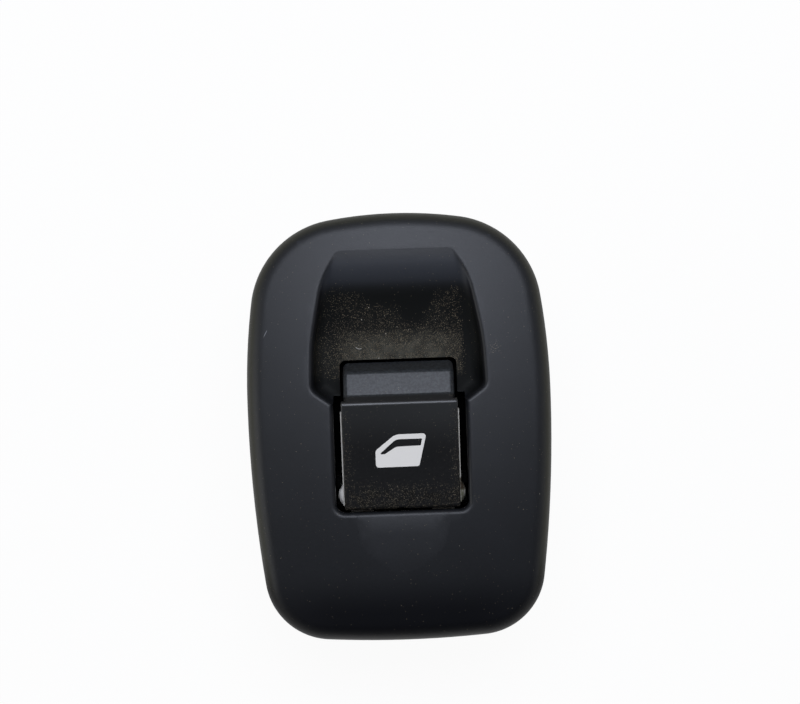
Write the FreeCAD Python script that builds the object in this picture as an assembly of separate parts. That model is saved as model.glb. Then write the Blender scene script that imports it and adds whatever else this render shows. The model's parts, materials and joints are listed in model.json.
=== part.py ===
import FreeCAD, Part
import math
import os

from FreeCAD import Vector

# Power window switch for a car door: a crowned plastic bezel with a finger scoop, a rocker key that
# is pressed down or pulled up, and behind it the switch module with its board, rubber domes and socket.
# Lengths are millimetres. X runs across the bezel, Y along it towards the scoop, Z out of its face.
# The origin is under the middle of the bezel, on the plane of the socket's mouth.

# Bezel outline: a chain of tangent arcs, wider at the scoop end
bezel_length = 84.5
bezel_width = 60.0
widest_y = 6.0
end_arc_upper = 85.0
corner_arc_upper = 18.7
side_arc_upper = 141.0
side_arc_lower = 284.0
corner_arc_lower = 13.0
end_arc_lower = 255.0

# Bezel skin
bezel_height = 10.0
crown_across = 140.0
crown_along = 220.0
rim_roll = 4.0
rim_roll_inside = 1.8
bezel_wall = 2.2

# Opening that the rocker stands in
opening_low_y = -16.45
opening_high_y = 5.2
opening_corner = 1.8
opening_edge_round = 0.9
collar_wall = 1.6
collar_depth = 5.0

# Finger scoop above the opening, with the rocker's slot cut through its floor. The floor's side view
# is a list of (share of the way from the slot to the far end, depth below the crown)
scoop_beside_opening = 4.17
scoop_middle_inset = 0.25
scoop_far_inset = 3.85
scoop_low_y = 7.7
scoop_middle_y = 17.0
scoop_from_end = 5.11
scoop_far_round = 3.0
scoop_side_round = 45.0
scoop_low_round = 2.2
scoop_mouth_inset = 1.02
scoop_mouth_run = 3.5
scoop_columns = 9
scoop_floor_round = 2.2
scoop_draft = 0.14
scoop_floor_wall = 1.9
scoop_floor = (
    (-0.67, 6.9),
    (-0.41, 6.85),
    (-0.2, 6.7),
    (0.01, 6.35),
    (0.185, 5.75),
    (0.335, 4.85),
    (0.463, 3.72),
    (0.579, 2.45),
    (0.691, 1.3),
    (0.785, 0.55),
    (0.871, 0.13),
    (0.979, -0.1),
    (1.129, -0.5),
    (1.386, -1.4),
)
slot_beside_ledge = 0.75
slot_high_y = 13.4
slot_corner = 1.2

# Thumb ramp below the opening, as (distance below the opening, depth below the crown)
ramp_flat = 8.0
ramp_half_width = 12.6
ramp_rise = 1.2
ramp_floor = (
    (-2.75, 0.75),
    (3.5, 0.38),
    (9.25, 0.1),
    (17.0, -0.15),
)

# Rocker key: a black cap over a white core, hinged near its lower end
hinge_from_opening = 3.45
hinge_above_rim = 5.5
tilt_limit_deg = 7.0
rocker_half_width = 11.35
ledge_inset = 0.5
flank_stand = 0.22
rocker_low_gap = 0.45
rocker_high_gap = 0.6
rocker_low_above_rim = 8.3
crest_y = 4.9
crest_above_rim = 12.1
crest_round = 0.7
step_run = 1.6
step_drop = 1.9
ledge_drop = 1.75
face_hollow = 0.25
face_hollow_round = 200.0
cap_skin = 1.0
cap_skirt_low = 2.3
cap_skirt_high = 5.2
cap_edge_round = 0.35
cap_low_round = 0.8
step_round = 0.6
ledge_edge_round = 1.0
ledge_end_round = 1.3
ledge_end_lean = 1.7
core_wall = 1.5
core_reach_low = 5.9
flank_from_crest = 1.5
leg_width = 4.4
leg_thickness = 2.4
foot_radius = 1.5
tail_thickness = 1.2
tail_above_foot = 0.3
tail_overhang = 1.4
nub_sphere = 2.87
nub_reach = 0.95
notch_radius = 3.0
notch_depth = 0.35

# Ears of the housing that hold the rocker's nubs
ear_gap = 0.3
ear_thickness = 0.9
ear_beside_opening = 0.25
ear_below_hinge = 2.4
ear_beyond_hinge = 3.8
ear_foot = 2.2
ear_foot_height = 2.4
ear_foot_slope = 0.8
ear_above_hinge = 1.6
ear_round = 1.2
bearing_clearance = 0.07
slot_squeeze = 0.3

# Plungers and rubber domes under the rocker
lever_arm = 9.0
plunger_inset = 3.35
plunger_radius = 1.9
plunger_top_round = 0.4
plunger_flange_radius = 2.6
plunger_flange = 0.9
guide_clearance = 0.05
guide_wall = 1.05
guide_length = 3.2
end_play = 0.3
contact_gap = 0.02
mat_sheet = 0.8
mat_side_margin = 0.2
mat_end_margin = 3.6
dome_height = 2.6
dome_base_radius = 3.3
dome_top_radius = 1.9
dome_skin = 0.5
dome_crown = 1.5
pill_radius = 1.3
pill_spare = 0.1
corner_small = 1.0

# Switch housing and base cover
module_low_margin = 5.4
module_high_y = 19.5
module_wall = 1.6
module_corner = 2.5
deck_thickness = 1.5
deck_below_rim = 0.5
cover_plate = 1.6
solder_space = 3.0
lip_wall = 1.2
lip_height = 2.3
lip_gap = 0.1
board_thickness = 1.6
board_gap = 0.4
post_radius = 1.5
post_inset = 2.2
post_gap = 0.2

# Snap tabs on the cover, with lugs on the housing
tab_ys = (-18.0, 9.0)
tab_width = 6.0
tab_thickness = 1.2
tab_gap = 0.15
tab_height = 8.5
tab_window = 3.6
tab_window_low = 4.1
tab_window_height = 2.8
lug_clearance = 0.2
lug_reach = 1.0
lug_lip = 0.6

# Screws that hold the module to the bezel
screw_beside_module = 3.5
screw_from_low = 3.4
screw_from_high = 5.5
pilot_spare = 0.2
lobe_radius = 3.2
boss_radius = 2.8
screw_radius = 1.2
pilot_clearance = 0.05
screw_hole_clearance = 0.3
screw_length = 6.5
head_radius = 2.4
head_height = 1.7
recess_width = 0.6
recess_span = 2.8
recess_depth = 1.0

# Socket for the loom's plug
socket_y = 1.0
socket_length = 24.0
socket_width = 13.0
socket_corner = 1.5
socket_wall = 1.4
socket_depth = 11.5
key_width = 1.6
key_reach = 0.7
key_offset = 6.5
latch_width = 5.0
latch_reach = 1.1
latch_height = 2.6
latch_from_mouth = 2.0
pin_count = 6
pin_pitch = 2.54
pin_side = 0.64
pin_tip = 0.8
pin_tip_side = 0.25
pin_from_mouth = 5.0
pin_above_board = 0.9
pin_hole_radius = 0.55

# Backlight
led_size = (3.2, 2.8, 1.9)
led_lens_radius = 1.1
led_lens_depth = 0.25
pipe_foot = (3.6, 3.2)
pipe_head_depth = 4.0
pipe_air = 0.3
pipe_above_rim = 5.6
pipe_flange_depth = 6.4
pipe_flange_thickness = 0.8
pipe_flange_lip = 0.6
pipe_beside_guide = 0.45
pipe_clearance = 0.1
mat_window = 5.0

# Parts soldered on the board
resistor_size = (3.2, 1.6, 0.6)
resistor_from_side = 5.0
resistor_rows = (6.0, 10.0)
capacitor_size = (2.0, 1.25, 1.2)
capacitor_x = -4.0
capacitor_row = 7.0
diode_size = (4.3, 2.6, 2.1)
diode_x = 3.5
diode_row = 8.5
chip_cap_length = 0.45
chip_cap_lip = 0.05
diode_lead = 0.5
diode_lead_width = 1.5
diode_lead_height = 1.0
diode_stand_off = 0.2
diode_chamfer = 0.25

# Spring clips on the bezel's two tongues
tongue_from_end = 5.6
tongue_half_width = 4.5
tongue_thickness = 1.6
tongue_reach = 7.0
clip_half_width = 4.0
clip_sheet = 0.5
clip_slack = 0.02
clip_short = 1.2
clip_wing_low = 1.5
clip_wing_out = 2.4
clip_wing_rise = 3.2
clip_wing_return = 1.0
clip_bend = 0.6

# Stiffening ribs under the bezel's lower end
rib_thickness = 1.2
rib_depth = 3.0
rib_xs = (-12.5, 0.0, 12.5)

# Window symbol, moulded through the cap: outer outline and glass, as (x, y, corner radius)
symbol_outer = (
    (-4.95, -7.7, 0.6),
    (3.5, -7.65, 0.5),
    (5.1, -1.25, 0.6),
    (-1.0, -1.3, 2.5),
    (-4.95, -4.35, 0.9),
)
symbol_glass = (
    (-4.2, -5.1, 0.15),
    (-3.15, -5.1, 0.15),
    (-0.9, -3.7, 2.0),
    (3.9, -3.6, 0.1),
    (4.25, -2.25, 0.1),
    (-0.9, -2.25, 2.0),
)
# Under the symbol's upper bar the cap bridges to the glass, below a thinner layer of white
symbol_bridge = (-0.6, 3.0)
symbol_bridge_reach = 1.2
symbol_depth = 0.45

# Levels, from the socket's mouth up
cover_z = socket_depth
cover_top_z = cover_z + cover_plate
board_z = cover_top_z + solder_space
board_top_z = board_z + board_thickness
mat_top_z = board_top_z + mat_sheet
dome_top_z = mat_top_z + dome_height
travel = lever_arm * math.radians(tilt_limit_deg)
flange_top_z = dome_top_z + plunger_flange
guide_z = flange_top_z + travel + end_play
guide_top_z = guide_z + guide_length
plunger_top_z = guide_top_z + travel + end_play
rim_z = guide_top_z - 0.6
deck_top_z = rim_z - deck_below_rim
deck_z = deck_top_z - deck_thickness
hinge_z = rim_z + hinge_above_rim
crown_z = rim_z + bezel_height
above_all = crown_z + 2 * bezel_height

# Places along and across, worked out from the sizes above
beyond = bezel_length
ledge_half_width = rocker_half_width - ledge_inset
flank_half_width = rocker_half_width + flank_stand
ear_x = flank_half_width + ear_gap
opening_half_width = ear_x + ear_thickness + ear_beside_opening
slot_half_width = ledge_half_width + slot_beside_ledge
scoop_half_width = opening_half_width + scoop_beside_opening
scoop_half_width_middle = scoop_half_width - scoop_middle_inset
scoop_half_width_far = scoop_half_width - scoop_far_inset
scoop_far_y = bezel_length / 2 - scoop_from_end
tongue_y = bezel_length / 2 - tongue_from_end
hinge_y = opening_low_y + hinge_from_opening
rocker_low_y = opening_low_y + rocker_low_gap
rocker_high_y = slot_high_y - rocker_high_gap
flank_end_y = crest_y - flank_from_crest
foot_z = plunger_top_z + contact_gap + foot_radius
pipe_z = board_top_z + led_size[2] + pipe_air
pipe_top_z = rim_z + pipe_above_rim
down_y = hinge_y + lever_arm
up_y = hinge_y - lever_arm
plunger_x = rocker_half_width - plunger_inset
pipe_flange_width = 2 * (plunger_x - plunger_radius - guide_wall - pipe_beside_guide)
pipe_head_width = pipe_flange_width - 2 * pipe_flange_lip
plunger_places = {
    "down_left": (-plunger_x, down_y),
    "down_right": (plunger_x, down_y),
    "up_left": (-plunger_x, up_y),
    "up_right": (plunger_x, up_y),
}
mat_half_width = plunger_x + dome_base_radius + mat_side_margin
cavity_half_width = mat_half_width + post_gap + post_radius + post_inset
module_half_width = cavity_half_width + module_wall
module_low_y = up_y - module_low_margin
cavity_low_y = module_low_y + module_wall
cavity_high_y = module_high_y - module_wall
board_half_width = cavity_half_width - board_gap
screw_x = module_half_width + screw_beside_module
screw_ys = (module_low_y + screw_from_low, module_high_y - screw_from_high)
symbol_y = (symbol_outer[0][1] + symbol_outer[3][1]) / 2
resistor_x = board_half_width - resistor_from_side
resistor_places = [(x, socket_y + row) for x in (-resistor_x, resistor_x) for row in resistor_rows]
capacitor_place = (capacitor_x, socket_y + capacitor_row)
diode_place = (diode_x, socket_y + diode_row)


def plan(z):
    """Places a flat outline's (u, v) at height z."""
    return lambda u, v: Vector(u, v, z)


def upright(x):
    """Places a side view's (y, z) at x."""
    return lambda u, v: Vector(x, u, v)


def rounded_wire(corners, place):
    """Closed wire through (u, v, radius) corners, each rounded by an arc tangent to its two sides."""
    count = len(corners)
    pieces = []
    for i, (u, v, radius) in enumerate(corners):
        corner = Vector(u, v, 0)
        back = Vector(*corners[i - 1][:2], 0) - corner
        ahead = Vector(*corners[(i + 1) % count][:2], 0) - corner
        back.normalize()
        ahead.normalize()
        if radius == 0:
            pieces.append((corner, None, corner))
            continue
        half = back.getAngle(ahead) / 2
        reach = radius / math.tan(half)
        inward = (back + ahead).normalize()
        centre = corner + inward * (radius / math.sin(half))
        pieces.append((corner + back * reach, centre - inward * radius, corner + ahead * reach))
    edges = []
    for i, (start, middle, end) in enumerate(pieces):
        if middle is not None:
            edges.append(Part.Arc(*(place(p.x, p.y) for p in (start, middle, end))).toShape())
        following = pieces[(i + 1) % count][0]
        if (following - end).Length > 1e-6:
            edges.append(Part.makeLine(place(end.x, end.y), place(following.x, following.y)))
    return Part.Wire(edges)


def mirrored(right_half):
    """Closes an outline given as its right half, by adding the same corners on the left."""
    return list(right_half) + [(-x, y, radius) for x, y, radius in reversed(right_half)]


def inset(corners, amounts):
    """Moves side i of a polygon inwards by amounts[i]; side i runs from corner i to the next."""
    count = len(corners)
    area = sum(
        corners[i][0] * corners[(i + 1) % count][1] - corners[(i + 1) % count][0] * corners[i][1]
        for i in range(count)
    )
    turn = 1 if area > 0 else -1
    lines = []
    for i in range(count):
        start = Vector(*corners[i][:2], 0)
        way = (Vector(*corners[(i + 1) % count][:2], 0) - start).normalize()
        normal = Vector(-way.y, way.x, 0) * turn
        lines.append((start + normal * amounts[i], way))
    moved = []
    for i in range(count):
        (p, d), (q, e) = lines[i - 1], lines[i]
        cross = d.x * e.y - d.y * e.x
        along = ((q.x - p.x) * e.y - (q.y - p.y) * e.x) / cross
        point = p + d * along
        amount = min(amounts[i - 1], amounts[i])
        radius = corners[i][2]
        if radius:
            radius = radius - amount if cross * turn > 0 else radius + amount
        moved.append((point.x, point.y, max(radius, 0)))
    return moved


def rectangle(half_width, low_y, high_y, radius):
    """Corners of a rectangle centred on X."""
    return mirrored([(half_width, low_y, radius), (half_width, high_y, radius)])


def slab(corners, z, top_z):
    """A flat plate of that outline between two heights."""
    return Part.Face(rounded_wire(corners, plan(z))).extrude(Vector(0, 0, top_z - z))


def side_slab(corners, half_width):
    """A side view swept across X, centred."""
    face = Part.Face(rounded_wire(corners, upright(-half_width)))
    return face.extrude(Vector(2 * half_width, 0, 0))


def block(x, y, z, top_x, top_y, top_z):
    """A box between two corners."""
    return Part.makeBox(top_x - x, top_y - y, top_z - z, Vector(x, y, z))


def pillar(x, y, width, depth, z, top_z):
    """A box centred over a point."""
    return block(x - width / 2, y - depth / 2, z, x + width / 2, y + depth / 2, top_z)


def column(x, y, radius, z, top_z):
    """An upright round bar."""
    return Part.makeCylinder(radius, top_z - z, Vector(x, y, z))


def on_both_sides(shape):
    """A shape and its mirror image across X, fused or side by side."""
    return shape.fuse(shape.mirror(Vector(0, 0, 0), Vector(1, 0, 0)))


def circle_meeting(centre_a, radius_a, centre_b, radius_b):
    """The right-hand point where two circles cross."""
    apart = centre_b - centre_a
    distance = apart.Length
    along = (radius_a**2 - radius_b**2 + distance**2) / (2 * distance)
    across = math.sqrt(radius_a**2 - along**2)
    unit = apart * (1 / distance)
    side = Vector(-unit.y, unit.x, 0)
    return max(
        (centre_a + unit * along + side * across, centre_a + unit * along - side * across),
        key=lambda p: p.x,
    )


def bezel_outline(gap, z):
    """The bezel's outline, moved inwards by gap, as tangent arcs."""
    width = bezel_width / 2 - gap
    length = bezel_length / 2 - gap
    upper = Vector(0, length - (end_arc_upper - gap), 0)
    lower = Vector(0, -length + (end_arc_lower - gap), 0)
    side_upper = Vector(width - (side_arc_upper - gap), widest_y, 0)
    side_lower = Vector(width - (side_arc_lower - gap), widest_y, 0)
    corner_upper = circle_meeting(
        upper, end_arc_upper - corner_arc_upper, side_upper, side_arc_upper - corner_arc_upper
    )
    corner_lower = circle_meeting(
        lower, end_arc_lower - corner_arc_lower, side_lower, side_arc_lower - corner_arc_lower
    )

    def tangent(centre, corner, radius):
        return centre + (corner - centre).normalize() * (radius - gap)

    a = tangent(upper, corner_upper, end_arc_upper)
    b = tangent(side_upper, corner_upper, side_arc_upper)
    c = Vector(width, widest_y, 0)
    d = tangent(side_lower, corner_lower, side_arc_lower)
    e = tangent(lower, corner_lower, end_arc_lower)

    def arc(centre, start, end):
        radius = (start - centre).Length
        middle = centre + ((start - centre) + (end - centre)).normalize() * radius
        return (start, middle, end)

    right = [
        arc(corner_upper, a, b),
        arc(side_upper, b, c),
        arc(side_lower, c, d),
        arc(corner_lower, d, e),
    ]

    def flipped(p):
        return Vector(-p.x, p.y, 0)

    left = [tuple(flipped(p) for p in reversed(points)) for points in reversed(right)]
    top = (flipped(a), Vector(0, length, 0), a)
    bottom = (e, Vector(0, -length, 0), flipped(e))
    wire = Part.Wire([Part.Arc(*points).toShape() for points in [top, *right, bottom, *left]])
    wire.translate(Vector(0, 0, z))
    return wire


def crown_height(x, y, drop=0.0):
    """Height of the crowned face over a point, or of a copy of it lowered by drop."""
    top = crown_z - drop
    spine = top - crown_along + math.sqrt(crown_along**2 - y**2)
    radius = crown_across - (top - spine)
    return top - crown_across + math.sqrt(radius**2 - x**2)


def under_crown(drop=0.0):
    """Everything below the crowned face, or below a copy of it lowered by drop."""
    top = crown_z - drop
    reach = beyond
    foot_z = -bezel_height
    end_z = crown_height(0, reach, drop)
    arc = Part.Arc(Vector(0, -reach, end_z), Vector(0, 0, top), Vector(0, reach, end_z)).toShape()
    high = [Vector(0, reach, end_z), Vector(0, -reach, end_z)]
    low = [Vector(0, reach, foot_z), Vector(0, -reach, foot_z)]
    pairs = [(high[0], low[0]), (low[0], low[1]), (low[1], high[1])]
    sides = [Part.makeLine(start, end) for start, end in pairs]
    face = Part.Face(Part.Wire([arc, *sides]))
    axis = Vector(0, 0, top - crown_across)
    half_turn = math.degrees(math.asin(bezel_width * 0.75 / crown_across))
    face.rotate(axis, Vector(0, 1, 0), -half_turn)
    return face.revolve(axis, Vector(0, 1, 0), 2 * half_turn)


def crowned_block(gap, drop, from_z, roll):
    """The bezel's outline as a solid up to the crown, with its upper edge rolled over."""
    solid = Part.Face(bezel_outline(gap, from_z)).extrude(Vector(0, 0, above_all))
    solid = solid.common(under_crown(drop))
    upper_edges = [edge for edge in solid.Edges if edge.BoundBox.ZMin > from_z + bezel_wall / 2]
    return solid.makeFillet(roll, upper_edges)


def scoop_floor_points(x, drop):
    """Points on the scoop's floor at x, from under the rocker to the soft far end."""
    points = []
    for share, depth in scoop_floor:
        y = slot_high_y + share * (scoop_far_y - slot_high_y)
        points.append(Vector(x, y, crown_height(x, y) - depth - drop))
    return points


def above_scoop_floor(drop=0.0):
    """Everything above the scoop's floor, or above a copy of it lowered by drop."""
    reach = bezel_width / 2
    step = 2 * reach / (scoop_columns - 1)
    rows = [scoop_floor_points(i * step - reach, drop) for i in range(scoop_columns)]
    surface = Part.BSplineSurface()
    surface.interpolate(rows)
    return surface.toShape().extrude(Vector(0, 0, above_all))


def scoop_outline(z):
    """The scoop's plan at height z, drafted so that it widens upwards."""
    grow = (z - crown_z) * scoop_draft
    low_y = scoop_low_y - grow / 3
    return mirrored(
        [
            (scoop_half_width_far + grow, scoop_far_y + grow, scoop_far_round),
            (scoop_half_width_middle + grow, scoop_middle_y, scoop_side_round),
            (scoop_half_width + grow, low_y, scoop_low_round),
            (opening_half_width - scoop_mouth_inset, low_y - scoop_mouth_run, 0),
        ]
    )


def scoop_cutter():
    """The space of the finger scoop: drafted walls, a curved floor and a round between the two."""
    deepest = max(depth for _, depth in scoop_floor)
    low_z = crown_height(0, scoop_middle_y) - deepest - bezel_wall
    walls = [rounded_wire(scoop_outline(z), plan(z)) for z in (low_z, crown_z)]
    space = Part.makeLoft(walls, True, True).common(above_scoop_floor())
    floor = max(
        (face for face in space.Faces if face.BoundBox.ZMax < crown_z - 1),
        key=lambda face: face.Area,
    )
    mouth_y = scoop_low_y - scoop_mouth_run
    around = [edge for edge in floor.Edges if edge.BoundBox.YMax > mouth_y + 0.5]
    return space.makeFillet(scoop_floor_round, around)


def ramp_cutter():
    """The shallow thumb ramp below the opening, deepest at the opening's edge."""

    def section(y, depth):
        floor_z = crown_height(0, y) - depth
        steps = 16
        points = []
        for i in range(steps + 1):
            x = -ramp_half_width + 2 * ramp_half_width * i / steps
            share = min(max((abs(x) - ramp_flat) / (ramp_half_width - ramp_flat), 0), 1)
            points.append(Vector(x, y, floor_z + ramp_rise * share * share * (3 - 2 * share)))
        curve = Part.BSplineCurve()
        curve.interpolate(points)
        high = [Vector(p.x, y, above_all) for p in (points[-1], points[0])]
        return Part.Wire(
            [
                curve.toShape(),
                Part.makeLine(points[-1], high[0]),
                Part.makeLine(high[0], high[1]),
                Part.makeLine(high[1], points[0]),
            ]
        )

    sections = [section(opening_low_y - away, depth) for away, depth in ramp_floor]
    return Part.makeLoft(sections, True)


def opening_edges(solid):
    """The edges where the bezel's face breaks into the opening and the scoop."""
    found = []
    for edge in solid.Edges:
        first, last = edge.ParameterRange
        points = [edge.valueAt(first + (last - first) * share) for share in (0.1, 0.5, 0.9)]
        sunk = [crown_height(p.x, p.y) - p.z for p in points]
        box = edge.BoundBox
        inside = box.YMin > opening_low_y - 0.1 and box.YMax < scoop_far_y
        inside = inside and abs(box.Center.x) < scoop_half_width + scoop_beside_opening
        on_face = max(abs(value) for value in sunk) < 0.02
        on_ramp = all(
            abs(p.y - opening_low_y) < 0.05 and value < 1.5 * ramp_floor[0][1]
            for p, value in zip(points, sunk)
        )
        if inside and (on_face or on_ramp):
            found.append(edge)
    return found


def bezel_tongue(y):
    """A tongue under one end of the bezel, rounded at its tip, that carries a spring clip."""
    half = tongue_thickness / 2
    tip_z = rim_z - tongue_reach
    side_view = [(y - half, tip_z, clip_bend), (y + half, tip_z, clip_bend)]
    side_view += [(y + half, crown_z, 0), (y - half, crown_z, 0)]
    return side_slab(side_view, tongue_half_width).common(under_crown(bezel_wall / 2))


def make_bezel():
    """One moulding: crowned skin, scoop, collar round the opening, bosses, ribs and clip tongues."""
    skin = crowned_block(0.0, 0.0, rim_z, rim_roll)
    opening_corners = [
        (opening_half_width, opening_low_y, opening_corner),
        (opening_half_width, (opening_high_y + scoop_low_y) / 2, 0),
    ]
    skin = skin.cut(slab(mirrored(opening_corners), deck_z, above_all))
    skin = skin.cut(scoop_cutter())
    skin = skin.cut(ramp_cutter())
    skin = skin.makeFillet(opening_edge_round, opening_edges(skin))

    hollow = crowned_block(bezel_wall, bezel_wall, deck_z, rim_roll_inside)
    collar = slab(
        rectangle(
            opening_half_width + collar_wall,
            opening_low_y - collar_wall,
            scoop_low_y,
            opening_corner + collar_wall,
        ),
        crown_z - collar_depth,
        above_all,
    )
    tub = slab(
        mirrored(
            [
                (scoop_half_width_far + scoop_floor_wall, scoop_far_y, scoop_far_round),
                (scoop_half_width_middle + scoop_floor_wall, scoop_middle_y, scoop_side_round),
                (scoop_half_width + scoop_floor_wall, opening_high_y, opening_edge_round),
            ]
        ),
        rim_z,
        above_all,
    ).common(above_scoop_floor(scoop_floor_wall))
    kept = [collar, tub]
    for x, y in screw_places():
        kept.append(column(x, y, boss_radius, deck_top_z, above_all))
    rib_z = crown_height(0, opening_low_y) - bezel_wall - rib_depth
    rib_y = opening_low_y - collar_wall / 2
    for x in rib_xs:
        side = rib_thickness / 2
        kept.append(block(x - side, -beyond, rib_z, x + side, rib_y, above_all))
    for shape in kept:
        hollow = hollow.cut(shape)
    bezel = skin.cut(hollow)

    below = [column(x, y, boss_radius, deck_top_z, rim_z + bezel_wall) for x, y in screw_places()]
    tongues = [bezel_tongue(y) for y in (-tongue_y, tongue_y)]
    bezel = bezel.fuse([*below, *tongues])
    for x, y in screw_places():
        pilot_top = deck_z + screw_length + pilot_spare
        bezel = bezel.cut(column(x, y, screw_radius + pilot_clearance, deck_z, pilot_top))
    slot = rectangle(slot_half_width, hinge_y, slot_high_y, slot_corner)
    return bezel.cut(slab(slot, deck_z, above_all)).removeSplitter()


def rocker_corners():
    """Side view of the rocker: low end, hollow face, crest, step, ledge and high end."""
    low_top = rim_z + rocker_low_above_rim
    crest_z = rim_z + crest_above_rim
    middle_y = (rocker_low_y + crest_y) / 2
    middle_z = (low_top + crest_z) / 2 - face_hollow
    step_z = crest_z - step_drop
    return [
        (rocker_low_y, low_top - cap_skirt_low, 0),
        (rocker_low_y, low_top, cap_low_round),
        (middle_y, middle_z, face_hollow_round),
        (crest_y, crest_z, crest_round),
        (crest_y + step_run, step_z, step_round),
        (rocker_high_y - ledge_end_lean, step_z - ledge_drop, ledge_end_round),
        (rocker_high_y, step_z - ledge_drop - cap_skirt_high, 0),
    ]


def lengthened(corners, first_by, last_by):
    """Moves the two ends of an open side view further down along their walls."""
    moved = list(corners)
    for end, beside, amount in ((0, 1, first_by), (-1, -2, last_by)):
        tip = Vector(*corners[end][:2], 0)
        way = (tip - Vector(*corners[beside][:2], 0)).normalize()
        tip = tip + way * amount
        moved[end] = (tip.x, tip.y, 0)
    return moved


def core_corners(past_end=0.0):
    """Side view of the space under the cap; the core fills it down to its own lower edge."""
    corners = inset(rocker_corners(), [cap_skin] * 6 + [0])
    return lengthened(corners, core_reach_low - cap_skirt_low + past_end, past_end)


def symbol_prism():
    """The window symbol as an upright prism: the door's outline without its glass."""
    outer = slab(symbol_outer, rim_z, above_all)
    return outer.cut(slab(symbol_glass, rim_z, above_all))


def symbol_plug(solid):
    """The white shot that fills the symbol; under its upper bar a black bridge holds the glass."""
    low_x, high_x = symbol_bridge
    bar_y = (symbol_outer[2][1] + symbol_glass[4][1]) / 2
    bridge = solid.copy()
    bridge.translate(Vector(0, 0, -symbol_depth))
    bridge = bridge.common(
        block(low_x, bar_y - symbol_bridge_reach, 0, high_x, bar_y + symbol_bridge_reach, above_all)
    )
    return solid.common(symbol_prism()).cut(bridge)


def cap_solid():
    """The cap before the symbol is cut: a skin over the face, the ledge and both ends."""
    solid = side_slab(rocker_corners(), rocker_half_width)
    for side in (-1, 1):
        inner, outer = sorted((side * ledge_half_width, side * beyond))
        solid = solid.cut(block(inner, crest_y + ledge_inset, rim_z, outer, beyond, above_all))
    solid = round_side_edges(solid)
    corners = core_corners(past_end=bezel_height)
    under_ledge = side_slab(corners, ledge_half_width - cap_skin)
    under_face = side_slab(corners, beyond).common(before_flank_end(flank_end_y))
    solid = solid.cut(under_ledge).cut(under_face)
    notch_y = rocker_low_y + notch_depth - notch_radius
    return solid.cut(column(0, notch_y, notch_radius, rim_z, above_all))


def round_side_edges(solid):
    """Rounds the cap's side edges: finely along the face, more along the ledge."""
    face_edges = []
    ledge_edges = []
    low_z = rim_z + rocker_low_above_rim - cap_low_round
    for edge in solid.Edges:
        box = edge.BoundBox
        if box.XLength > 0.01 or box.YLength < 0.01 or box.ZMin < low_z:
            continue
        beside = abs(box.Center.x)
        if abs(beside - rocker_half_width) < 0.01 and box.YMax < crest_y and box.YLength > 2:
            face_edges.append(edge)
        if abs(beside - ledge_half_width) < 0.01 and box.YMin > crest_y + step_run * 0.9:
            ledge_edges.append(edge)
    solid = solid.makeFillet(cap_edge_round, face_edges)
    ledge_edges = [
        edge
        for edge in solid.Edges
        if any(edge.CenterOfMass.distanceToPoint(old.CenterOfMass) < 0.01 for old in ledge_edges)
    ]
    return solid.makeFillet(ledge_edge_round, ledge_edges)


def before_flank_end(y):
    """All the space on the hinge's side of a plane across the rocker."""
    return block(-beyond, -beyond, 0, beyond, y, above_all)


def make_rocker_cap(solid):
    """Black first shot of the rocker, with the symbol left open."""
    return solid.cut(symbol_plug(solid))


def make_rocker_core(solid):
    """White second shot: fills the cap and its symbol, with nubs, legs, tail and feet."""
    corners = core_corners()
    core = side_slab(corners, ledge_half_width - cap_skin)
    flanks = side_slab(corners, flank_half_width)
    flanks = flanks.common(before_flank_end(flank_end_y))
    core = core.fuse(flanks)

    inner_corners = inset(corners, [core_wall] * (len(corners) - 1) + [-core_reach_low])
    under_face = side_slab(inner_corners, rocker_half_width - core_wall)
    under_face = under_face.common(before_flank_end(flank_end_y - core_wall))
    under_ledge = side_slab(inner_corners, ledge_half_width - cap_skin - core_wall)
    core = core.cut(under_face).cut(under_ledge)

    inner_x = plunger_x - leg_width / 2
    outer_x = plunger_x + leg_width / 2
    leg = pillar(plunger_x, down_y, leg_width, leg_thickness, foot_z, above_all)
    leg = leg.common(side_slab(corners, rocker_half_width))
    tail_z = foot_z + tail_above_foot
    tail_low_y = up_y - tail_overhang
    tail_high_y = corners[0][0] + core_wall / 2
    tail = block(inner_x, tail_low_y, tail_z - tail_thickness, outer_x, tail_high_y, tail_z)
    down_foot, up_foot = (
        Part.makeCylinder(foot_radius, leg_width, Vector(inner_x, y, foot_z), Vector(1, 0, 0))
        for y in (down_y, up_y)
    )
    up_foot = up_foot.cut(pillar(plunger_x, up_y, 2 * leg_width, 4 * foot_radius, tail_z, above_all))
    leg_and_tail = leg.fuse([tail, down_foot, up_foot])
    sphere_x = flank_half_width + nub_reach - nub_sphere
    nub = Part.makeSphere(nub_sphere, Vector(sphere_x, hinge_y, hinge_z))
    nub_root = (rocker_half_width + flank_half_width) / 2
    nub = nub.common(block(nub_root, -beyond, 0, beyond, beyond, above_all))
    for shape in (leg_and_tail, nub):
        core = core.fuse(on_both_sides(shape))
    core = core.fuse(symbol_plug(solid))
    return core.removeSplitter()


def nub_radius_at(x):
    """Radius of the nub's round section at that distance from the middle."""
    return math.sqrt(nub_sphere**2 - (x - (flank_half_width + nub_reach - nub_sphere)) ** 2)


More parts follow.
